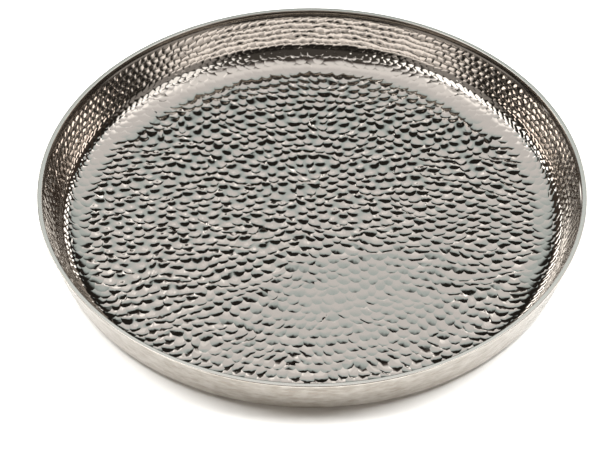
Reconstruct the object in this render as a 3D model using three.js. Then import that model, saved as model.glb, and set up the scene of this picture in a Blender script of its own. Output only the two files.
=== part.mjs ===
// Round two-skin serving tray: a hand-hammered liner hemmed into a smooth outer shell.
// Millimetres, +Z up. The origin is the centre of the face that the tray stands on.
import * as THREE from 'three';

// Driving dimensions
const RIM_DIAMETER = 406; // over the hem
const HEIGHT = 38; // standing face to the top of the hem
const WALL_FLARE = 15.5; // degrees that the shell's wall leans out from upright
const PAN_FLARE = 25; // degrees that the liner's wall leans out from upright
const BASE_FILLET = 12; // outside radius between the shell's wall and base
const DISH_RADIUS = 85; // sweep in which the liner's floor begins to rise
const DISH_TURN = 12; // degrees that the floor has risen where its fillet starts
const PAN_FILLET = 13; // inside radius between the liner's floor and wall
const SHELL_SHEET = 0.5; // sheet of the outer shell
const PAN_SHEET = 0.5; // sheet of the hammered liner
const SEAT_GAP = 0.1; // clearance wherever two pieces seat on each other
const RIM_WIDTH = 3.5; // across the flat top of the hem
const HEM_DEPTH = 5; // how far the shell's folded edge reaches down inside the wall
const EDGE_DROP = 1; // how far the liner's edge ends below the inside of the hem
const HEM_STEP = 1.2; // run in which the liner's relief fades out below the hem
const STAND_RING = 12; // width of the flat ring that the tray stands on
const BASE_RECESS = 0.8; // how far the base panel is pressed up inside that ring
const RECESS_RUN = 3; // width of the slope from the ring to the panel
const PAD_THICKNESS = 1; // fibre disc between the two floors
const PAD_MARGIN = 6; // how far the disc stays inside the base panel
const DENT_PITCH = 10.9; // distance between neighbouring hammer blows
const DENT_DEPTH = 0.45; // deepest blow, below the ridges
const DENT_SCATTER = 0.13; // how far a blow may miss its place, as a share of the pitch
const DENT_SPREAD = 0.35; // share of the depth by which blows differ
const SHELL_STEPS = 4; // facets round the shell's fillet
const DISH_STEPS = 2; // facets along the back of the liner's dish
const PAN_STEPS = 5; // facets round the back of the liner's fillet

// Section directions, as (radius, height): up a wall that leans out by an angle, and from it into the tray
const upAt = (lean) => new THREE.Vector2(Math.sin(lean), Math.cos(lean));
const intoAt = (lean) => new THREE.Vector2(-Math.cos(lean), Math.sin(lean));
const shellLean = THREE.MathUtils.degToRad(WALL_FLARE);
const panLean = THREE.MathUtils.degToRad(PAN_FLARE);

// Heights of the floors, and of the liner's faces above its back
const panelTop = BASE_RECESS + SHELL_SHEET;
const padBottom = panelTop + SEAT_GAP;
const panBottom = padBottom + PAD_THICKNESS + SEAT_GAP;
const ridgeRise = PAN_SHEET + DENT_DEPTH;
const ridgeFloor = panBottom + ridgeRise;
const hemRise = PAN_SHEET + SEAT_GAP;

// Inside corners of the folded hem, next to its outer edge and its inner edge
const outerCorner = new THREE.Vector2(RIM_DIAMETER / 2 - SHELL_SHEET, HEIGHT - SHELL_SHEET);
const innerCorner = new THREE.Vector2(
  RIM_DIAMETER / 2 - RIM_WIDTH + SHELL_SHEET,
  HEIGHT - SHELL_SHEET,
);

// The point `inset` inside the shell's outer face and `drop` below the hem's top, measured down the wall.
function onShell(inset, drop) {
  return outerCorner
    .clone()
    .addScaledVector(intoAt(shellLean), inset - SHELL_SHEET)
    .addScaledVector(upAt(shellLean), -drop);
}

// The point `rise` above the liner's back and `drop` below the hem's top, measured down the liner's wall.
function onPan(rise, drop) {
  return onShell(SHELL_SHEET + SEAT_GAP, 0)
    .addScaledVector(intoAt(panLean), rise)
    .addScaledVector(upAt(panLean), -drop);
}

// The shell's fillet between a wall `inset` inside its outer face and a floor at `floor`.
function filletOf(inset, floor) {
  const radius = BASE_FILLET - inset;
  const axis = onShell(BASE_FILLET, 0);
  const drop = (axis.y - floor - radius) / Math.cos(shellLean);
  return { radius, centre: axis.addScaledVector(upAt(shellLean), -drop) };
}

// A fillet's section from the floor to the wall, in equal steps.
function filletPoints({ radius, centre }) {
  return Array.from({ length: SHELL_STEPS + 1 }, (_, i) => {
    const angle = THREE.MathUtils.lerp(-Math.PI / 2, -shellLean, i / SHELL_STEPS);
    return new THREE.Vector2(Math.cos(angle), Math.sin(angle))
      .multiplyScalar(radius)
      .add(centre);
  });
}

// Ridge face of the liner, measured along its section from the centre of the floor: flat floor, gentle
// dish, fillet, wall. Dish and fillet are arcs that share a tangent where the dish has risen by its turn.
const dishTurn = THREE.MathUtils.degToRad(DISH_TURN);
const wallTurn = Math.PI / 2 - panLean;
const arcsApart = DISH_RADIUS - PAN_FILLET;
const filletHeight = ridgeFloor + DISH_RADIUS - arcsApart * Math.cos(dishTurn);
const filletAxis = onPan(ridgeRise + PAN_FILLET, 0);
const ridgeDrop = (filletAxis.y - filletHeight) / Math.cos(panLean);
const filletCentre = filletAxis.addScaledVector(upAt(panLean), -ridgeDrop);
const flatRadius = filletCentre.x - arcsApart * Math.sin(dishTurn);
const dishCentre = new THREE.Vector2(flatRadius, ridgeFloor + DISH_RADIUS);
const dishEnd = flatRadius + DISH_RADIUS * dishTurn;
const filletEnd = dishEnd + PAN_FILLET * (wallTurn - dishTurn);
const collarDrop = HEM_DEPTH + SEAT_GAP + HEM_STEP;
const hammeredLength = filletEnd + ridgeDrop - collarDrop;

// Point and inward normal of the ridge face at distance s from the centre of the floor.
function ridgeFace(s) {
  if (s <= flatRadius) {
    return {
      point: new THREE.Vector2(s, ridgeFloor),
      normal: new THREE.Vector2(0, 1),
    };
  }
  const onDish = s <= dishEnd;
  const turn = onDish
    ? (s - flatRadius) / DISH_RADIUS
    : dishTurn + (Math.min(s, filletEnd) - dishEnd) / PAN_FILLET;
  const outward = new THREE.Vector2(Math.sin(turn), -Math.cos(turn));
  return {
    point: (onDish ? dishCentre : filletCentre)
      .clone()
      .addScaledVector(outward, onDish ? DISH_RADIUS : PAN_FILLET)
      .addScaledVector(upAt(panLean), Math.max(s - filletEnd, 0)),
    normal: outward.negate(),
  };
}

// The liner's smooth back, from the wall down to the flat of the floor.
function backPoints() {
  const fillet = Array.from({ length: PAN_STEPS + 1 }, (_, i) =>
    THREE.MathUtils.lerp(filletEnd, dishEnd, i / PAN_STEPS),
  );
  const dish = Array.from({ length: DISH_STEPS }, (_, i) =>
    THREE.MathUtils.lerp(dishEnd, flatRadius, (i + 1) / DISH_STEPS),
  );
  return [...fillet, ...dish].map((s) => {
    const { point, normal } = ridgeFace(s);
    return point.addScaledVector(normal, -ridgeRise);
  });
}

// Rounds of hammer blows: six more in each round across the floor, then level rounds up the wall
const blowRounds = Math.round(hammeredLength / DENT_PITCH);
const roundSpacing = hammeredLength / (blowRounds + 0.5);
const floorRounds = Math.round(dishEnd / roundSpacing);
const sides = 6 * floorRounds;
const sideAngle = (2 * Math.PI) / sides;

// A repeatable number from 0 to 1 for each round and blow, which makes the hammering uneven.
function unevenness(round, blow, salt) {
  const mixed = Math.sin(round * 12.9898 + blow * 78.233 + salt * 37.719) * 43758.5453;
  return mixed - Math.floor(mixed);
}

// Where a blow lands: its distance from the centre along the section, its angle and its depth.
function blowAt(round, blow) {
  const onFloor = round <= floorRounds;
  const count = onFloor ? 6 * round : sides;
  const lead = 0.5 * (blowRounds + 1 - Math.max(round, floorRounds)) * sideAngle;
  const step = (2 * Math.PI) / Math.max(count, 1);
  const stray = (salt) => DENT_SCATTER * (2 * unevenness(round, blow, salt) - 1);
  const radial = round === 0 ? 0 : stray(1) * roundSpacing;
  return {
    s: round * roundSpacing + radial,
    angle: lead + (blow + stray(2)) * step,
    depth: DENT_DEPTH * (1 - DENT_SPREAD * unevenness(round, blow, 3)),
  };
}

// Triples of neighbouring blows, each as [round, blow]: three dents that meet at a ridge point.
function blowTriples() {
  const triples = [];
  for (let round = 1; round <= floorRounds; round++) {
    for (let sector = 0; sector < 6; sector++) {
      for (let i = 0; i < round; i++) {
        const outer = [round, sector * round + i];
        const outerNext = [round, (sector * round + i + 1) % (6 * round)];
        const inners = Math.max(6 * (round - 1), 1);
        const inner = [round - 1, (sector * (round - 1) + i) % inners];
        triples.push([inner, outer, outerNext]);
        if (i < round - 1) {
          triples.push([inner, outerNext, [round - 1, (inner[1] + 1) % inners]]);
        }
      }
    }
  }
  for (let round = floorRounds; round < blowRounds; round++) {
    for (let blow = 0; blow < sides; blow++) {
      const next = (blow + 1) % sides;
      triples.push([[round, blow], [round + 1, blow], [round + 1, next]]);
      triples.push([[round, blow], [round + 1, next], [round, next]]);
    }
  }
  return triples;
}

// Collects vertices and faces of a closed skin.
class SkinBuilder {
  constructor() {
    this.positions = [];
    this.faces = [];
  }

  vertex(section, angle) {
    this.positions.push(section.x * Math.cos(angle), section.x * Math.sin(angle), section.y);
    return this.positions.length / 3 - 1;
  }

  ring(section) {
    return Array.from({ length: sides }, (_, i) => this.vertex(section, i * sideAngle));
  }

  // Joins two rings of equal count, from the one that comes first in a walk with the solid on the left.
  strip(first, second) {
    first.forEach((a, i) => {
      const next = (i + 1) % first.length;
      this.faces.push(a, first[next], second[next], a, second[next], second[i]);
    });
  }

  geometry() {
    const made = new THREE.BufferGeometry();
    made.setAttribute('position', new THREE.Float32BufferAttribute(this.positions, 3));
    made.setIndex(this.faces);
    made.computeVertexNormals();
    return made;
  }
}

// The liner: a dented face inside, a smooth back, and a plain edge that goes up into the hem.
function hammeredPanGeometry() {
  const skin = new SkinBuilder();

  // One low vertex for each blow
  const lows = [];
  for (let round = 0; round <= blowRounds; round++) {
    const count = round === 0 ? 1 : Math.min(6 * round, sides);
    lows.push(
      Array.from({ length: count }, (_, blow) => {
        const { s, angle, depth } = blowAt(round, blow);
        const { point, normal } = ridgeFace(s);
        return skin.vertex(point.addScaledVector(normal, -depth), angle);
      }),
    );
  }

  // One high vertex where three dents meet, and the three facets round it
  for (const triple of blowTriples()) {
    const blows = triple.map(([round, blow]) => blowAt(round, blow));
    const s = blows.reduce((sum, blow) => sum + blow.s, 0) / 3;
    const across = blows.reduce((sum, blow) => sum + Math.cos(blow.angle) * blow.s, 0);
    const along = blows.reduce((sum, blow) => sum + Math.sin(blow.angle) * blow.s, 0);
    const ridge = skin.vertex(ridgeFace(s).point, Math.atan2(along, across));
    const [a, b, c] = triple.map(([round, blow]) => lows[round][blow]);
    skin.faces.push(a, b, ridge, b, c, ridge, c, a, ridge);
  }

  // Plain collar, edge and back, walked from the last round of blows up, over and down to the axis
  const last = lows[blowRounds];
  const collar = skin.ring(ridgeFace(hammeredLength).point);
  last.forEach((low, i) => {
    const next = (i + 1) % sides;
    skin.faces.push(low, collar[i], collar[next], low, collar[next], last[next]);
  });
  const walk = [
    onPan(PAN_SHEET, HEM_DEPTH + SEAT_GAP),
    onPan(PAN_SHEET, EDGE_DROP),
    onPan(0, EDGE_DROP),
    ...backPoints(),
  ];
  let ring = collar;
  for (const section of walk) {
    const following = skin.ring(section);
    skin.strip(following, ring);
    ring = following;
  }
  const middle = skin.vertex(new THREE.Vector2(0, panBottom), 0);
  ring.forEach((a, i) => skin.faces.push(a, middle, ring[(i + 1) % sides]));
  return skin.geometry();
}

// A revolved solid, from a section that starts and ends on the axis, turned so that its axis is +Z.
function revolved(section) {
  const made = new THREE.LatheGeometry(section, sides);
  made.rotateX(Math.PI / 2);
  made.rotateZ(Math.PI / 2);
  return made;
}

// The shell: recessed base, fillet, flared wall, and the edge folded over and down inside the liner.
const outerFillet = filletOf(0, 0);
const panelRadius = outerFillet.centre.x - STAND_RING - RECESS_RUN;

function outerShellGeometry() {
  const creaseShift = SHELL_SHEET * Math.tan(Math.atan(BASE_RECESS / RECESS_RUN) / 2);
  const innerFillet = filletOf(SHELL_SHEET, SHELL_SHEET);
  const under = [
    new THREE.Vector2(0, BASE_RECESS),
    new THREE.Vector2(panelRadius, BASE_RECESS),
    new THREE.Vector2(panelRadius + RECESS_RUN, 0),
    ...filletPoints(outerFillet),
    onShell(0, 0),
    new THREE.Vector2(RIM_DIAMETER / 2, outerCorner.y),
    new THREE.Vector2(outerCorner.x, HEIGHT),
    new THREE.Vector2(innerCorner.x, HEIGHT),
    new THREE.Vector2(innerCorner.x - SHELL_SHEET, innerCorner.y),
    onPan(hemRise + SHELL_SHEET, HEM_DEPTH),
  ];
  const inside = [
    onPan(hemRise, HEM_DEPTH),
    innerCorner,
    outerCorner,
    ...filletPoints(innerFillet).reverse(),
    new THREE.Vector2(panelRadius + RECESS_RUN + creaseShift, SHELL_SHEET),
    new THREE.Vector2(panelRadius + creaseShift, panelTop),
    new THREE.Vector2(0, panelTop),
  ];
  return revolved([...under, ...inside]);
}

// The fibre disc that keeps the two floors apart.
function floorPadGeometry() {
  const radius = panelRadius - PAD_MARGIN;
  const top = padBottom + PAD_THICKNESS;
  return revolved([
    new THREE.Vector2(0, padBottom),
    new THREE.Vector2(radius, padBottom),
    new THREE.Vector2(radius, top),
    new THREE.Vector2(0, top),
  ]);
}

const hammeredSteel = new THREE.MeshStandardMaterial({
  color: 0xc4bdb6,
  metalness: 1,
  roughness: 0.12,
});
const smoothSteel = new THREE.MeshStandardMaterial({
  color: 0xcdc9c3,
  metalness: 1,
  roughness: 0.3,
});
const fibreBoard = new THREE.MeshStandardMaterial({
  color: 0x8c7455,
  metalness: 0,
  roughness: 0.95,
});

function piece(name, geometry, material) {
  const mesh = new THREE.Mesh(geometry, material);
  mesh.name = name;
  return mesh;
}

const tray = new THREE.Group();
tray.name = 'hammered_tray';
tray.add(
  piece('outer_shell', outerShellGeometry(), smoothSteel),
  piece('floor_pad', floorPadGeometry(), fibreBoard),
  piece('inner_pan', hammeredPanGeometry(), hammeredSteel),
);

export default tray;
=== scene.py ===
"""A round two-skin serving tray with a hand-hammered liner, on a pale table in soft light.

Metres, +Z up, the tray's standing face at z = 0 and its axis on the origin.
"""

import math

import bpy
import numpy as np
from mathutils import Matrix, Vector


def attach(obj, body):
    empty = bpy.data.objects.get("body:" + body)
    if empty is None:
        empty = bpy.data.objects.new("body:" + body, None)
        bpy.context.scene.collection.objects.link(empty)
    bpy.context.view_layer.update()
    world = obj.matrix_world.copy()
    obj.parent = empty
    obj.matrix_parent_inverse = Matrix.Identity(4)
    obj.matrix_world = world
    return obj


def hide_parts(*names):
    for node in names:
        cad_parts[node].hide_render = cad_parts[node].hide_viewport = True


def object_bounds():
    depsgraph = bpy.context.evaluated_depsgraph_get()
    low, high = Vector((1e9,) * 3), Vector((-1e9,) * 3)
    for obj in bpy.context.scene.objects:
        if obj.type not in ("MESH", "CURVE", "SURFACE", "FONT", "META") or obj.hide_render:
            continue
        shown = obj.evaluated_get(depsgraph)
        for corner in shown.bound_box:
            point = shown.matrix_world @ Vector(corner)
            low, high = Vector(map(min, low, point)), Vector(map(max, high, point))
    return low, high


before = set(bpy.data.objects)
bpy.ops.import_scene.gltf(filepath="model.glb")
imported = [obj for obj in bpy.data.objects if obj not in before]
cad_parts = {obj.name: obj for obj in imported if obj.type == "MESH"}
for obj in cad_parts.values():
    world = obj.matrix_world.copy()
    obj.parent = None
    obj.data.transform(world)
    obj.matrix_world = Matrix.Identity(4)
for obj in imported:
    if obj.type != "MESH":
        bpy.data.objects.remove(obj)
cad_low, cad_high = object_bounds()

MM = 0.001

# Section of the tray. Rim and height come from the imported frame.
rim_radius = min(cad_high[0], cad_high[1])
height = cad_high[2]
WALL_FLARE = math.radians(15.5)  # lean of the shell's wall
PAN_FLARE = math.radians(25)  # lean of the liner's wall
BASE_FILLET = 12 * MM
DISH_RADIUS = 85 * MM  # sweep of the floor's rising edge
DISH_TURN = math.radians(12)  # how steep the sweep gets before the fillet
PAN_FILLET = 13 * MM
SHELL_SHEET = 0.5 * MM
PAN_SHEET = 0.5 * MM
SEAT_GAP = 0.1 * MM
RIM_WIDTH = 3.5 * MM
HEM_DEPTH = 5 * MM  # how far the hem's inner leg goes down the liner's wall
HEM_STEP = 1.2 * MM  # step of the liner from its ridges to its plain edge, below the hem
HEM_FALL = 0.06 * MM  # fall of the hem's top into the tray
EDGE_DROP = 1 * MM  # liner's edge below the fold
STAND_RING = 12 * MM
BASE_RECESS = 0.8 * MM
RECESS_RUN = 3 * MM
PAD_THICKNESS = 1 * MM
RELIEF = 0.45 * MM  # height of the ridge face above the plain sheet
BLOW_REACH = 0.62 * MM  # deepest that a blow goes below the ridge face

# Hammering of the liner: rounds of blows across the floor, then closer rounds up the wall
FLOOR_ROUNDS = 22
FLOOR_MARGIN = 0.3  # pitches between the floor's last round and the end of the dish
WALL_ROUNDS = 8
WALL_MARGIN = 0.5  # pitches between the wall's last round and the end of the hammering
WALL_BLOWS = 178  # in each round of the wall
BLOW_SCATTER = 0.3  # pitches that a blow may stray
DEPTH_SPREAD = 0.12 * MM
CORNER_ROUNDS = 3  # rounds on the fillet
SMOOTH_ROUNDS = 1.5  # smooth rounds at the floor's edge: one more at the back, one fewer at the front

# Radius of the hammer's face on each part, and the share by which it varies from blow to blow
FLOOR_HAMMER = 17.2 * MM
DISH_HAMMER = 220 * MM
CORNER_HAMMER = 30 * MM
WALL_HAMMER = 20 * MM
HAMMER_SPREAD = 0.35

# Form of a dent
FLOOR_BOWL = 1.5  # power of the way out by which a dent rises to its ridge
WALL_BOWL = 2
LOW_SHIFT = 0.8 * MM  # low point in front of the middle of a dent on the floor
LOW_LIMIT = 0.4  # largest share of the way to the dent's edge that this may be
DENT_RINGS = (0.4, 0.75)  # rings of points on the way from the low point to the ridge
EDGE_STEPS = 2  # steps along a ridge line
EDGE_BOW = 0.2  # bow of a ridge line, as a share of its length

# Lightly hammered areas of the floor: middle, reach along x and y, and share of the depth that is lost
QUIET_AREAS = (
    ((20 * MM, -140 * MM), (230 * MM, 140 * MM), 0.6),
    ((30 * MM, -75 * MM), (85 * MM, 70 * MM), 0.65),
    ((125 * MM, -30 * MM), (90 * MM, 110 * MM), 0.5),
)
QUIET_EASE = 1.6  # how steeply the depth comes back at an area's edge

# Unlevel edge of the floor, by the sine of the angle round the tray
LIFT_START = 0.97  # of the flat floor's radius
LIFT_SWING = 1.1 * MM
LIFT_LEAN = 0.18  # sine at which the edge is level
LIFT_FRONT = -0.55  # sine past which the front goes no lower

# Kinds of unevenness, and the numbers that mix them
ALONG, ASIDE, LIFT, HAMMER, LEAD = 1, 2, 3, 4, 5
MIX_FACTORS = (12.9898, 78.233, 37.719)
MIX_SCALE = 43758.5453

# Faint beating of the shell's wall: crossed waves that fade near its foot and its rim
PLANISH_PITCH = 6 * MM
PLANISH_DEPTH = 0.3 * MM
ROUND_BEND = (1.9, 5.1)  # how far, and how fast with height, the waves round the wall are bent
RISE_BEND = (1.7, 2.3)  # how far, and how fast on the way round, the waves up the wall are bent
FOOT_PLAIN = 6 * MM
FOOT_FADE = 6 * MM
RIM_PLAIN = 2 * MM
RIM_FADE = 4 * MM

# Cloudy streaks of the shell's finish
STREAK_LENGTH = 9 * MM
STREAK_FLATTEN = 2.5
STREAK_DETAIL = 3.0
STREAK_SPAN = (0.35, 0.65)  # of the cloud, from dull to bright steel

# Steps of the sections, and sides of the shell
FILLET_STEPS = 12
FOLD_STEPS = 6
INNER_FOLD_STEPS = 5
HEM_STEPS = 8
INSIDE_STEPS = 6
BACK_FILLET_ROWS = 6
BACK_DISH_ROWS = 3
SHELL_ROWS = 36
SHELL_SIDES = 960

# Heights of the floors, and of the liner's faces above its back
panel_top = BASE_RECESS + SHELL_SHEET
pan_bottom = panel_top + SEAT_GAP + PAD_THICKNESS + SEAT_GAP
ridge_rise = PAN_SHEET + RELIEF
ridge_floor = pan_bottom + ridge_rise
hem_rise = PAN_SHEET + SEAT_GAP

# Centres of the two small bends at the top of the hem
outer_corner = np.array([rim_radius - SHELL_SHEET, height - SHELL_SHEET])
inner_corner = np.array([rim_radius - RIM_WIDTH + SHELL_SHEET, height - HEM_FALL - SHELL_SHEET])


def up_at(lean):
    """Section direction up a wall that leans out: the sine and cosine of its lean."""
    return np.array([math.sin(lean), math.cos(lean)])


def into_at(lean):
    """Section direction from a leaning wall into the tray, square to the way up."""
    return np.array([-math.cos(lean), math.sin(lean)])


def on_shell(inset, drop):
    """Section point `inset` inside the shell's outer face and `drop` down its wall from the hem."""
    return outer_corner + into_at(WALL_FLARE) * (inset - SHELL_SHEET) - up_at(WALL_FLARE) * drop


def on_pan(rise, drop):
    """Section point `rise` above the liner's back and `drop` down its wall from the hem."""
    anchor = on_shell(SHELL_SHEET + SEAT_GAP, 0)
    return anchor + into_at(PAN_FLARE) * rise - up_at(PAN_FLARE) * drop


def arc(centre, radius, start, end, steps):
    """Points of a circular arc in the section plane, at even angles."""
    angle = np.linspace(start, end, steps + 1)
    return centre + radius * np.stack([np.cos(angle), np.sin(angle)], axis=1)


def shell_fillet(inset, floor, steps):
    """The shell's fillet from a floor to the wall `inset` inside its outer face.

    Its centre is one radius above the floor, on the line that runs up the wall at the fillet's depth.
    """
    radius = BASE_FILLET - inset
    axis = on_shell(BASE_FILLET, 0)
    centre = axis - up_at(WALL_FLARE) * (axis[1] - floor - radius) / math.cos(WALL_FLARE)
    return arc(centre, radius, -math.pi / 2, -WALL_FLARE, steps)


# Ridge face of the liner: flat floor, gentle dish, fillet, wall. Dish and fillet share a tangent.
wall_turn = math.pi / 2 - PAN_FLARE
arcs_apart = DISH_RADIUS - PAN_FILLET
fillet_height = ridge_floor + DISH_RADIUS - arcs_apart * math.cos(DISH_TURN)
fillet_axis = on_pan(ridge_rise + PAN_FILLET, 0)
ridge_drop = (fillet_axis[1] - fillet_height) / math.cos(PAN_FLARE)
fillet_centre = fillet_axis - up_at(PAN_FLARE) * ridge_drop
flat_radius = fillet_centre[0] - arcs_apart * math.sin(DISH_TURN)
dish_centre = np.array([flat_radius, ridge_floor + DISH_RADIUS])

# Distances along that face from the centre of the floor
lift_start = LIFT_START * flat_radius
dish_end = flat_radius + DISH_RADIUS * DISH_TURN
fillet_end = dish_end + PAN_FILLET * (wall_turn - DISH_TURN)
hammered_length = fillet_end + ridge_drop - HEM_DEPTH - SEAT_GAP - HEM_STEP


def ridge_face(distance):
    """Section point and inward normal at each distance from the centre along the ridge face.

    The face is straight on the floor, an arc on the dish, a tighter arc on the fillet and straight on
    the wall. On an arc the turn is the distance along it over its radius.
    """
    turn = (np.clip(distance, flat_radius, dish_end) - flat_radius) / DISH_RADIUS
    turn = turn + (np.clip(distance, dish_end, fillet_end) - dish_end) / PAN_FILLET
    outward = np.stack([np.sin(turn), -np.cos(turn)], axis=-1)
    inside = np.minimum(distance - flat_radius, 0)[..., None] * np.array([1.0, 0.0])
    climb = np.maximum(distance - fillet_end, 0)[..., None] * up_at(PAN_FLARE)
    on_dish = dish_centre + DISH_RADIUS * outward + inside
    on_fillet = fillet_centre + PAN_FILLET * outward + climb
    return np.where((distance <= dish_end)[..., None], on_dish, on_fillet), -outward


def around(section, angle):
    """Section points turned about the axis: radius times cosine and sine of the angle, and height."""
    radius, rise, angle = np.broadcast_arrays(section[..., 0], section[..., 1], angle)
    return np.stack([radius * np.cos(angle), radius * np.sin(angle), rise], axis=-1)


def unevenness(level, blow, kind):
    """A repeatable number from 0 to 1 for each round and blow: the fraction of a large sine."""
    by_level, by_blow, by_kind = MIX_FACTORS
    mixed = np.sin(level * by_level + blow * by_blow + kind * by_kind) * MIX_SCALE
    return mixed - np.floor(mixed)


def blow_rounds():
    """Count, distance from the centre and pitch of each round of blows.

    Rounds on the floor are one pitch apart and so are their blows. The last round of the wall lies
    past the hammered face.
    """
    floor_pitch = dish_end / (FLOOR_ROUNDS + FLOOR_MARGIN)
    reach = FLOOR_ROUNDS * floor_pitch
    wall_pitch = (hammered_length - reach) / (WALL_ROUNDS + WALL_MARGIN)
    floor = [
        (max(round(2 * math.pi * k), 1), k * floor_pitch, floor_pitch) for k in range(FLOOR_ROUNDS + 1)
    ]
    wall = [(WALL_BLOWS, reach + k * wall_pitch, wall_pitch) for k in range(1, WALL_ROUNDS + 2)]
    return floor + wall


def stitched(first, inner, outer, lead_inner, lead_outer):
    """Triangles between two rings of any counts, walking both by the middles of their steps.

    A ring of one point has no step, so its own triangle is left out.
    """
    i = np.arange(inner)
    j = np.arange(outer)
    middle_i = (i + 0.5 + lead_inner) / inner
    middle_j = (j + 0.5 + lead_outer) / outer
    start = first + inner
    across = np.searchsorted(middle_j, middle_i, side="left") % outer
    back = np.searchsorted(middle_i, middle_j, side="right") % inner
    low = np.stack([first + i, start + across, first + (i + 1) % inner], axis=1)
    high = np.stack([start + j, start + (j + 1) % outer, first + back], axis=1)
    return np.concatenate([low, high]) if inner > 1 else high


def blow_lattice():
    """Centre, lift and hammer of all blows on the unrolled face, and the triples that meet at ridges.

    A blow lies at its round's distance and its even share of the turn, plus a stray along and aside.
    The last value is the first blow of the round past the hammered face.
    """
    places, lifts, hammers, triples = [], [], [], []
    rounds = blow_rounds()
    first = 0
    for k, (count, level, pitch) in enumerate(rounds):
        blow = np.arange(count)
        lead = unevenness(k, 0, LEAD)
        angle = (blow + lead) * 2 * math.pi / count
        stray = BLOW_SCATTER * pitch * min(k, 1)
        along = level + stray * (2 * unevenness(k, blow, ALONG) - 1)
        aside = stray * (2 * unevenness(k, blow, ASIDE) - 1)
        spoke = np.stack([np.cos(angle), np.sin(angle)], axis=1)
        sideways = np.stack([-spoke[:, 1], spoke[:, 0]], axis=1)
        places.append(along[:, None] * spoke + aside[:, None] * sideways)
        lifts.append(DEPTH_SPREAD * unevenness(k, blow, LIFT))
        above_floor = k - FLOOR_ROUNDS
        if above_floor > CORNER_ROUNDS:
            hammer = WALL_HAMMER
        elif above_floor > 0:
            hammer = CORNER_HAMMER
        else:
            smooth = -above_floor < SMOOTH_ROUNDS + np.sin(angle)
            hammer = np.where(smooth, DISH_HAMMER, FLOOR_HAMMER)
        hammers.append(hammer * (1 + HAMMER_SPREAD * (2 * unevenness(k, blow, HAMMER) - 1)))
        if k + 1 < len(rounds):
            next_lead = unevenness(k + 1, 0, LEAD)
            triples.append(stitched(first, count, rounds[k + 1][0], lead, next_lead))
            first += count
    return (
        np.concatenate(places),
        np.concatenate(lifts),
        np.concatenate(hammers),
        np.concatenate(triples),
        first,
    )


def ridge_lines(triples):
    """Each ridge line as the two triples that share a pair of neighbouring blows, and that pair."""
    pairs = np.concatenate([triples[:, [0, 1]], triples[:, [1, 2]], triples[:, [2, 0]]])
    owner = np.tile(np.arange(len(triples)), 3)
    key = np.sort(pairs, axis=1)
    order = np.lexsort((key[:, 1], key[:, 0]))
    key = key[order]
    owner = owner[order]
    twin = np.flatnonzero((key[1:] == key[:-1]).all(axis=1))
    return np.stack([owner[twin], owner[twin + 1]], axis=1), key[twin]


def points_on_lines(span, end_height, hammer, plain):
    """Places and heights of the points along each ridge line, between its ends.

    A line sags as a bowl's edge does: its length squared over twice the hammer's radius, times the share
    gone and the share left. Rows were struck from the front to the back, so each line also bows, most at
    its middle, into the dent in front of it. The plain lines at the rim do neither.
    """
    share = np.arange(1, EDGE_STEPS) / EDGE_STEPS
    run = span[:, 1] - span[:, 0]
    sag = (run**2).sum(axis=-1) / (2 * hammer)
    between_height = (
        end_height[:, :1]
        + share * (end_height[:, 1:] - end_height[:, :1])
        - sag[:, None] * share * (1 - share)
    )
    between_height[plain] = BLOW_REACH
    length = np.hypot(run[:, 0], run[:, 1])
    across = np.stack([-run[:, 1], run[:, 0]], axis=1) / length[:, None]
    bow = -across * across[:, 1:] * (EDGE_BOW * length * ~plain)[:, None]
    between = span[:, :1] + share[None, :, None] * (span[:, 1:] - span[:, :1])
    between = between + (4 * share * (1 - share))[None, :, None] * bow[:, None]
    return between, between_height


def low_points(centre, on_floor, spoke_blow, spoke_place):
    """Low point of each dent: on the floor, where blows fell tipped forward, it is nearer to the front.

    It is LOW_SHIFT in front of the blow's centre, or LOW_LIMIT of the way to the nearest edge if less.
    """
    room = np.full(len(centre), LOW_SHIFT / LOW_LIMIT)
    np.minimum.at(room, spoke_blow, np.linalg.norm(spoke_place - centre[spoke_blow], axis=1))
    return centre - np.stack([np.zeros(len(centre)), LOW_LIMIT * room * on_floor], axis=1)


def upward(place, faces):
    """Faces turned so that each runs counter-clockwise on the unrolled face."""
    corner = place[faces[:, :3]]
    first = corner[:, 1] - corner[:, 0]
    second = corner[:, 2] - corner[:, 0]
    turn = first[:, 0] * second[:, 1] - first[:, 1] * second[:, 0]
    return np.where((turn > 0)[:, None], faces, faces[:, ::-1])


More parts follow.
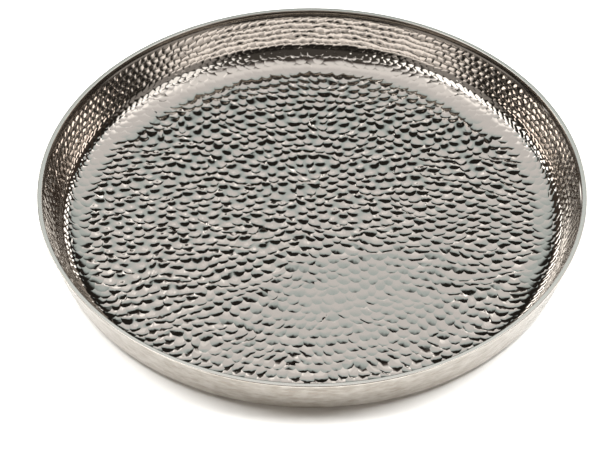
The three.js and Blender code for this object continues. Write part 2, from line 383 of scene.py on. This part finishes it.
def dented_face():
    """The hammered face unrolled: places, heights, ridge flags, triangles, quads, rim points in order.

    Each blow is a bowl: from its low point the height grows with a power of the way out to the ridge,
    FLOOR_BOWL on the floor and WALL_BOWL on the wall. Ridge points lie in the middle of three blows, at
    the mean height of three round hammer faces there: distance squared over twice the hammer's radius.
    """
    centre, lift, hammer, triples, beyond = blow_lattice()
    ridge = centre[triples].mean(axis=1)
    apart = ((ridge[:, None, :] - centre[triples]) ** 2).sum(axis=-1)
    ridge_height = (lift[triples] + apart / (2 * hammer[triples])).mean(axis=1)
    on_rim = (triples >= beyond).any(axis=1)
    reach = np.hypot(ridge[:, 0], ridge[:, 1])
    ridge[on_rim] *= (hammered_length / reach[on_rim])[:, None]
    ridge_height[on_rim] = BLOW_REACH

    ends, pair = ridge_lines(triples)
    span = ridge[ends]
    end_height = ridge_height[ends]
    both_rim = on_rim[ends].all(axis=1)
    line_hammer = hammer[pair].mean(axis=1)
    between, between_height = points_on_lines(span, end_height, line_hammer, both_rim)

    # Points are numbered in this order: blows, ridge points, points on lines, points on spokes
    ridge_start = len(centre)
    line_start = ridge_start + len(ridge)
    spoke_start = line_start + between_height.size

    # Each line bounds two dents: a fan from either blow's centre, cut into steps on the way out
    line_index = line_start + np.arange(between_height.size).reshape(between_height.shape)
    edge_index = np.concatenate(
        [ridge_start + ends[:, :1], line_index, ridge_start + ends[:, 1:]], axis=1
    )
    edge_place = np.concatenate([span[:, :1], between, span[:, 1:]], axis=1)
    edge_height = np.concatenate([end_height[:, :1], between_height, end_height[:, 1:]], axis=1)
    blow = np.concatenate([pair[:, 0], pair[:, 1]])
    real = blow < beyond
    blow = blow[real]
    edge_index = np.concatenate([edge_index, edge_index])[real]
    edge_place = np.concatenate([edge_place, edge_place])[real]
    edge_height = np.concatenate([edge_height, edge_height])[real]

    # Points on the spokes inside a dent, made once for each edge point of each dent
    spoke_key = blow[:, None].astype(np.int64) * spoke_start + edge_index
    _, first_seen, spoke = np.unique(spoke_key, return_index=True, return_inverse=True)
    spoke = spoke.reshape(edge_index.shape)
    spoke_blow = np.repeat(blow, edge_index.shape[1])[first_seen]
    spoke_place = edge_place.reshape(-1, 2)[first_seen]
    spoke_height = edge_height.reshape(-1)[first_seen]
    on_floor = np.hypot(centre[:, 0], centre[:, 1]) < flat_radius
    low = low_points(centre, on_floor, spoke_blow, spoke_place)
    hub = low[spoke_blow]
    steps = np.array(DENT_RINGS)
    inner_place = hub[:, None] + steps[:, None] * (spoke_place - hub)[:, None]
    bowl = np.where(on_floor, FLOOR_BOWL, WALL_BOWL)[spoke_blow]
    inner_height = (
        lift[spoke_blow][:, None]
        + steps ** bowl[:, None] * (spoke_height - lift[spoke_blow])[:, None]
    )
    inner_index = spoke_start + np.arange(inner_height.size).reshape(inner_height.shape)

    place = np.concatenate([low, ridge, between.reshape(-1, 2), inner_place.reshape(-1, 2)])
    rise = np.concatenate([lift, ridge_height, between_height.ravel(), inner_height.ravel()])
    is_ridge = np.zeros(len(place), bool)
    is_ridge[ridge_start:spoke_start] = True

    # Faces of each fan: a triangle at the low point, then quads out to the ridge
    levels = np.concatenate([inner_index[spoke], edge_index[..., None]], axis=-1)
    left = levels[:, :-1]
    right = levels[:, 1:]
    tip = np.broadcast_to(blow[:, None], left.shape[:2])
    tips = np.stack([tip, left[..., 0], right[..., 0]], axis=-1).reshape(-1, 3)
    quads = np.stack([left[..., :-1], left[..., 1:], right[..., 1:], right[..., :-1]], axis=-1)
    quads = quads.reshape(-1, 4)

    # Blows past the rim and what only they use are left out
    used = np.zeros(len(place), bool)
    used[tips.ravel()] = True
    used[quads.ravel()] = True
    rim_ridge = ridge_start + np.flatnonzero(on_rim & (triples < beyond).any(axis=1))
    rim_points = np.concatenate([rim_ridge, line_index[both_rim].ravel()])
    rim_points = rim_points[used[rim_points]]
    rim_points = rim_points[np.argsort(np.arctan2(place[rim_points, 1], place[rim_points, 0]))]
    renumber = np.cumsum(used) - 1
    return (
        place[used],
        rise[used],
        is_ridge[used],
        renumber[upward(place, tips)],
        renumber[upward(place, quads)],
        renumber[rim_points],
    )


def mesh_piece(name, points, faces, crease=None):
    """A smooth-shaded mesh object from points and blocks of faces.

    A line stays sharp where both of its ends are flagged in crease.
    """
    mesh = bpy.data.meshes.new(name)
    mesh.from_pydata(points.tolist(), [], [face for block in faces for face in block.tolist()])
    mesh.shade_smooth()
    if crease is not None:
        ends = np.empty(len(mesh.edges) * 2, np.int32)
        mesh.edges.foreach_get("vertices", ends)
        sharp = crease[ends.reshape(-1, 2)].all(axis=1)
        mesh.edges.foreach_set("use_edge_sharp", sharp)
    made = bpy.data.objects.new(name, mesh)
    bpy.context.scene.collection.objects.link(made)
    return made


def edge_lift(distance, angle):
    """How far the floor's edge stands off its true height: up at the back, down at the front.

    It follows the sine of the angle round the tray. It eases in from the flat floor to the end of the
    dish, and dies out up the fillet and wall.
    """
    share = np.clip((distance - lift_start) / (dish_end - lift_start), 0, 1)
    fade = np.clip((hammered_length - distance) / (hammered_length - dish_end), 0, 1)
    tilt = np.maximum(np.sin(angle), LIFT_FRONT) - LIFT_LEAN
    return LIFT_SWING * share**2 * (3 - 2 * share) * fade * tilt


def hammered_pan():
    """The liner: the dented face wrapped over floor, fillet and wall, closed by a plain edge and back.

    Each point lies on the ridge face at its distance from the centre, less the depth of its dent along
    the normal, and is turned by its angle. In the quiet areas the ridges stand less high.
    """
    place, rise, crease, tips, quads, rim = dented_face()
    distance = np.hypot(place[:, 0], place[:, 1])
    angle = np.arctan2(place[:, 1], place[:, 0])
    point, normal = ridge_face(distance)
    quiet = np.ones(len(place))
    on_floor = np.clip((dish_end - distance) / (dish_end - flat_radius), 0, 1)
    for middle, reach, loss in QUIET_AREAS:
        off = np.linalg.norm((place - middle) / reach, axis=1)
        quiet *= 1 - loss * on_floor * np.clip(QUIET_EASE * (1 - off), 0, 1)
    dent = np.minimum(rise * quiet - BLOW_REACH, 0)
    section = point + normal * dent[:, None]
    section[:, 1] += edge_lift(distance, angle)
    top = around(section, angle)

    # Plain edge in the hem, then down the back of the wall and in under the floor
    rim_angle = angle[rim]
    edge = [
        on_pan(PAN_SHEET, HEM_DEPTH + SEAT_GAP),
        on_pan(PAN_SHEET, EDGE_DROP),
        on_pan(0, EDGE_DROP),
    ]
    back_distance = np.concatenate(
        [
            np.linspace(fillet_end, dish_end, BACK_FILLET_ROWS),
            np.linspace(dish_end, flat_radius, BACK_DISH_ROWS)[1:],
            [lift_start],
        ]
    )
    back_point, back_normal = ridge_face(back_distance)
    walk = np.concatenate([edge, back_point - back_normal * ridge_rise])
    back = around(walk[:, None, :], rim_angle[None, :])
    back[len(edge) :, :, 2] += edge_lift(back_distance[:, None], rim_angle[None, :])
    points = np.concatenate([top, back.reshape(-1, 3), [[0, 0, pan_bottom]]])

    count = len(rim)
    base = len(top)
    back_rows = base + np.arange(len(walk) * count).reshape(len(walk), count)
    rows = np.concatenate([rim[None, :], back_rows])
    following = np.roll(rows, -1, axis=1)
    strips = np.stack([rows[1:], following[1:], following[:-1], rows[:-1]], axis=-1)
    hub = np.full(count, len(points) - 1)
    fan = np.stack([following[-1], rows[-1], hub], axis=-1)
    crease = np.concatenate([crease, np.ones(len(points) - base, bool)])
    return mesh_piece(
        "inner_pan_hammered", points, [tips, quads, strips.reshape(-1, 4), fan], crease
    )


def planished(angle, rise):
    """How far the shell's wall is beaten in: two crossed sine waves, each bent by the other's way.

    The beating fades out toward the foot and the rim.
    """
    way_round = angle * rim_radius / PLANISH_PITCH
    way_up = rise / PLANISH_PITCH
    round_wave = np.sin(2 * math.pi * way_round + ROUND_BEND[0] * np.sin(ROUND_BEND[1] * way_up))
    rise_wave = np.sin(2 * math.pi * way_up + RISE_BEND[0] * np.sin(RISE_BEND[1] * way_round))
    foot_fade = np.clip((rise - FOOT_PLAIN) / FOOT_FADE, 0, 1)
    rim_fade = np.clip((height - RIM_PLAIN - rise) / RIM_FADE, 0, 1)
    fade = foot_fade * rim_fade
    return PLANISH_DEPTH * fade * (0.5 + 0.5 * round_wave * rise_wave)


def revolved(name, section, sides, beaten):
    """A section that starts and ends on the axis, turned about it at even angles.

    Points of its first `beaten` rows are set in by the beating of the wall.
    """
    angle = np.arange(sides) * 2 * math.pi / sides
    rows = np.broadcast_to(section[1:-1, None, :], (len(section) - 2, sides, 2)).copy()
    rows[:beaten, :, 0] -= planished(angle[None, :], rows[:beaten, :, 1])
    rings = around(rows, angle[None, :])
    ends = np.array([[0, 0, section[0, 1]], [0, 0, section[-1, 1]]])
    index = np.arange(rings.shape[0] * sides).reshape(-1, sides)
    following = np.roll(index, -1, axis=1)
    quads = np.stack([index[:-1], following[:-1], following[1:], index[1:]], axis=-1)
    first = np.full(sides, index.size)
    bottom = np.stack([first, following[0], index[0]], axis=-1)
    top = np.stack([first + 1, index[-1], following[-1]], axis=-1)
    points = np.concatenate([rings.reshape(-1, 3), ends])
    return mesh_piece(name, points, [quads.reshape(-1, 4), bottom, top])


def outer_shell():
    """The shell: recessed base, fillet, flared wall, and the edge folded over inside the liner.

    Its section runs out along the underside, up the outer wall, over the hem and back along the inside.
    """
    fillet = shell_fillet(0, 0, FILLET_STEPS)
    ring_inside = fillet[0, 0] - STAND_RING
    panel_radius = ring_inside - RECESS_RUN
    mitre = SHELL_SHEET * math.tan(math.atan(BASE_RECESS / RECESS_RUN) / 2)
    under = [[0, BASE_RECESS], [panel_radius, BASE_RECESS], [ring_inside, 0]]
    wall = np.linspace(fillet[-1], on_shell(0, 0), SHELL_ROWS)[1:-1]
    hem_top = np.array([outer_corner, inner_corner]) + [0, SHELL_SHEET]
    inside = [
        [ring_inside + mitre, SHELL_SHEET],
        [panel_radius + mitre, panel_top],
        [0, panel_top],
    ]
    section = np.concatenate(
        [
            under,
            fillet,
            wall,
            arc(outer_corner, SHELL_SHEET, -WALL_FLARE, math.pi / 2, FOLD_STEPS),
            np.linspace(hem_top[0], hem_top[1], HEM_STEPS)[1:-1],
            arc(inner_corner, SHELL_SHEET, math.pi / 2, math.pi, INNER_FOLD_STEPS),
            [on_pan(hem_rise + SHELL_SHEET, HEM_DEPTH), on_pan(hem_rise, HEM_DEPTH)],
            [inner_corner, outer_corner],
            shell_fillet(SHELL_SHEET, SHELL_SHEET, INSIDE_STEPS)[::-1],
            inside,
        ]
    )
    beaten = len(under[1:]) + len(fillet) + len(wall)
    return revolved("outer_shell_smooth", section, SHELL_SIDES, beaten)


def linear(hex_colour):
    """An sRGB hex colour as linear light with full alpha: a straight toe, then a power."""
    channels = np.array([int(hex_colour[i : i + 2], 16) for i in (1, 3, 5)]) / 255
    light = np.where(channels <= 0.04045, channels / 12.92, ((channels + 0.055) / 1.055) ** 2.4)
    return (*light.tolist(), 1.0)


def add_node(tree, kind, settings=None, **inputs):
    """Adds a node, sets its properties, and sets or links its inputs.

    Inputs go by socket name, with _ for a space, or by place as i0, i1 and so on.
    """
    node = tree.nodes.new(kind)
    for key, value in (settings or {}).items():
        setattr(node, key, value)
    for key, value in inputs.items():
        by_place = key[0] == "i" and key[1:].isdigit()
        socket = node.inputs[int(key[1:]) if by_place else key.replace("_", " ")]
        if isinstance(value, bpy.types.NodeSocket):
            tree.links.new(value, socket)
        else:
            socket.default_value = value
    return node


def new_material(name):
    """A new material and its emptied node tree."""
    made = bpy.data.materials.new(name)
    made.use_nodes = True
    made.node_tree.nodes.clear()
    return made, made.node_tree


def hammered_steel():
    """Steel polished after hammering: a clear, slightly warm mirror.

    Its dents, which are in the mesh, break what it mirrors into light and dark scales.
    """
    made, tree = new_material("hammered_polished_steel")
    shader = add_node(
        tree,
        "ShaderNodeBsdfPrincipled",
        Base_Color=linear("#d2cfcb"),
        Metallic=1.0,
        Roughness=0.05,
    )
    add_node(tree, "ShaderNodeOutputMaterial", Surface=shader.outputs[0])
    return made


def spun_steel():
    """Spun steel with a soft polish: a blurred mirror with cloudy streaks round the wall.

    The top of the hem is mixed to near-white: a painted highlight that stands in for the light line along
    the rim.
    """
    made, tree = new_material("spun_smooth_steel")
    place = add_node(tree, "ShaderNodeTexCoord").outputs["Object"]
    stretch = add_node(tree, "ShaderNodeMapping", Vector=place, Scale=(1, 1, STREAK_FLATTEN))
    cloud = add_node(
        tree,
        "ShaderNodeTexNoise",
        Vector=stretch.outputs[0],
        Scale=1 / STREAK_LENGTH,
        Detail=STREAK_DETAIL,
    )
    wall = add_node(tree, "ShaderNodeValToRGB", Fac=cloud.outputs["Fac"])
    dull, bright = wall.color_ramp.elements
    dull.position, bright.position = STREAK_SPAN
    dull.color = linear("#a0988e")
    bright.color = linear("#bbb6af")
    rise = add_node(tree, "ShaderNodeSeparateXYZ", Vector=place).outputs["Z"]
    # Painted highlight: near the top of the hem the colour goes to near-white (#f8f6f2), standing in for
    # the light line that the rim reflects
    edge = add_node(
        tree,
        "ShaderNodeMapRange",
        Value=rise,
        From_Min=height - SHELL_SHEET,
        From_Max=height - HEM_FALL,
    )
    colour = add_node(
        tree,
        "ShaderNodeMix",
        {"data_type": "RGBA"},
        i0=edge.outputs[0],
        i6=wall.outputs[0],
        i7=linear("#f8f6f2"),
    )
    shader = add_node(
        tree,
        "ShaderNodeBsdfPrincipled",
        Base_Color=colour.outputs[2],
        Metallic=1.0,
        Roughness=0.14,
    )
    add_node(tree, "ShaderNodeOutputMaterial", Surface=shader.outputs[0])
    return made


def matt_finish(name, colour, roughness):
    """A matt surface of one colour: it scatters light and mirrors next to nothing."""
    made, tree = new_material(name)
    shader = add_node(
        tree, "ShaderNodeBsdfPrincipled", Base_Color=linear(colour), Roughness=roughness
    )
    add_node(tree, "ShaderNodeOutputMaterial", Surface=shader.outputs[0])
    return made


pan = hammered_pan()
pan.data.materials.append(hammered_steel())
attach(pan, "root")
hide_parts("inner_pan")

shell = outer_shell()
shell.data.materials.append(spun_steel())
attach(shell, "root")
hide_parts("outer_shell")

# Pad between the floors, out of sight: pressed fibre board, dull and grey-brown
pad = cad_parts["floor_pad"]
pad.data.materials.clear()
pad.data.materials.append(matt_finish("pressed_fibre_board", "#8c7455", roughness=0.95))

# Table, just under the standing ring
TABLE_SIZE = 12
TABLE_DROP = 0.2 * MM
bpy.ops.mesh.primitive_plane_add(size=TABLE_SIZE, location=(0, 0, -TABLE_DROP))
table = bpy.context.object
table.name = "table"
table.data.materials.append(matt_finish("matt_white_table", "#f4f4f2", roughness=0.9))

# Studio light: pale cards in a dim room, which the metal mirrors. Each has its colour and light, then its
# bearing from behind the tray (clockwise), half width, lower and upper edge above the table, and soft
# edge, all in degrees.
CARDS = {
    "wall": ("#e3eeea", 0.7, 0, 50, 40.6, 62, 2),
    "wall_warm": ("#ffc8c4", 0.24, 0, 50, 45.5, 62, 4),
    "wall_high": ("#fff6ee", 0.22, 0, 50, 55, 62, 3),
    "left_glow": ("#fffaf4", 0.5, -34, 20, 55, 68, 3),
    "right_glow": ("#fffaf4", 0.5, 34, 20, 55, 68, 3),
    "left_box": ("#fffaf4", 2.0, -78, 36, 54, 72, 3),
    "right_box": ("#fffaf4", 1.4, 78, 34, 55, 72, 3),
    "left_lamp": ("#ffeee0", 2.2, -76, 16, 2, 13, 2),
    "right_lamp": ("#ffeee0", 2.2, 72, 14, 2, 14, 2),
    "left_slot": ("#fffaf4", 2.6, -29, 15, 5, 14, 2),
    "low_band": ("#e6d8ca", 0.4, 0, 33, -5, 19, 4),
    "left_slot_high": ("#fffaf4", 3.0, -63, 9, 26, 39, 2),
    "right_slot": ("#fffaf4", 2.5, 33, 7, 21, 32, 2),
    "left_dim": ("#b59a86", 0.08, -50, 28, 5, 38, 6),
    "right_dim": ("#b59a86", 0.08, 50, 28, 5, 38, 6),
    "front_strip": ("#fff4ea", 0.68, 180, 65, -5, 26, 6),
    "front_core": ("#fff4ea", 0.68, 180, 60, 4, 16, 4),
    "ceiling": ("#d8ccc0", 0.08, 0, 200, 58, 120, 16),
    "left_bay": ("#fff4ea", 0.3, -112, 26, 26, 52, 6),
    "right_bay": ("#fff4ea", 0.3, 112, 26, 26, 52, 6),
}
ROOM_COLOUR = "#26231f"

world = bpy.data.worlds.new("studio")
bpy.context.scene.world = world
world.use_nodes = True
sky = world.node_tree
sky.nodes.clear()

direction = add_node(sky, "ShaderNodeTexCoord").outputs["Generated"]
parts = add_node(sky, "ShaderNodeSeparateXYZ", Vector=direction).outputs
elevation = add_node(sky, "ShaderNodeMath", {"operation": "ARCSINE"}, i0=parts["Z"]).outputs[0]
bearing = add_node(
    sky, "ShaderNodeMath", {"operation": "ARCTAN2"}, i0=parts["X"], i1=parts["Y"]
).outputs[0]


def card(colour, light, azimuth, half_width, low, high, soft):
    """A pale card: its colour times its light inside its span of bearing and height.

    Its light is multiplied by three soft steps from 0 to 1: in from its sides, up past its lower edge
    and down past its upper edge.
    """
    azimuth, half_width, low, high, soft = (
        math.radians(angle) for angle in (azimuth, half_width, low, high, soft)
    )
    turned = add_node(sky, "ShaderNodeMath", {"operation": "SUBTRACT"}, i0=bearing, i1=azimuth)
    wrapped = add_node(
        sky, "ShaderNodeMath", {"operation": "WRAP"}, i0=turned.outputs[0], i1=math.pi, i2=-math.pi
    )
    off = add_node(sky, "ShaderNodeMath", {"operation": "ABSOLUTE"}, i0=wrapped.outputs[0])
    soft_steps = (
        (off.outputs[0], half_width + soft, half_width - soft),
        (elevation, low - soft, low + soft),
        (elevation, high + soft, high - soft),
    )
    for value, start, end in soft_steps:
        step = add_node(
            sky,
            "ShaderNodeMapRange",
            {"interpolation_type": "SMOOTHSTEP"},
            Value=value,
            From_Min=start,
            From_Max=end,
        )
        light = add_node(
            sky, "ShaderNodeMath", {"operation": "MULTIPLY"}, i0=light, i1=step.outputs[0]
        ).outputs[0]
    return add_node(
        sky, "ShaderNodeVectorMath", {"operation": "SCALE"}, i0=linear(colour)[:3], Scale=light
    ).outputs[0]


room = linear(ROOM_COLOUR)[:3]
for settings in CARDS.values():
    room = add_node(
        sky, "ShaderNodeVectorMath", {"operation": "ADD"}, i0=room, i1=card(*settings)
    ).outputs[0]
background = add_node(sky, "ShaderNodeBackground", Color=room)
add_node(sky, "ShaderNodeOutputWorld", Surface=background.outputs[0])

# Two wide soft lights over the table. Their own images are kept out of the metal.
LAMPS = {"left_wash": (-1.2, 65), "right_wash": (1.2, 80)}
LAMP_SIZE = 1.2
LAMP_FORWARD = 0.04
LAMP_HEIGHT = 2.0
for name, (aside, energy) in LAMPS.items():
    wash = bpy.data.lights.new(name, "AREA")
    wash.size = LAMP_SIZE
    wash.energy = energy
    lamp = bpy.data.objects.new(name, wash)
    lamp.location = (aside, LAMP_FORWARD, LAMP_HEIGHT)
    lamp.rotation_euler = (-lamp.location).to_track_quat("-Z", "Y").to_euler()
    lamp.visible_glossy = False
    bpy.context.scene.collection.objects.link(lamp)

# Camera in front of the tray, looking down at it
CAMERA_PLACE = Vector((0, -1.1804, 1.1525))
CAMERA_LOOK = Vector((-0.00533, 0.71011, -0.70407))
LENS = 131.46
SENSOR_WIDTH = 36
SIGHT_END = 50
camera_data = bpy.data.cameras.new("camera")
camera_data.lens = LENS
camera_data.sensor_width = SENSOR_WIDTH
camera_data.clip_end = SIGHT_END
camera = bpy.data.objects.new("camera", camera_data)
camera.location = CAMERA_PLACE
camera.rotation_euler = CAMERA_LOOK.to_track_quat("-Z", "Y").to_euler()
bpy.context.scene.collection.objects.link(camera)
bpy.context.scene.camera = camera
bpy.context.scene.view_settings.view_transform = "Standard"
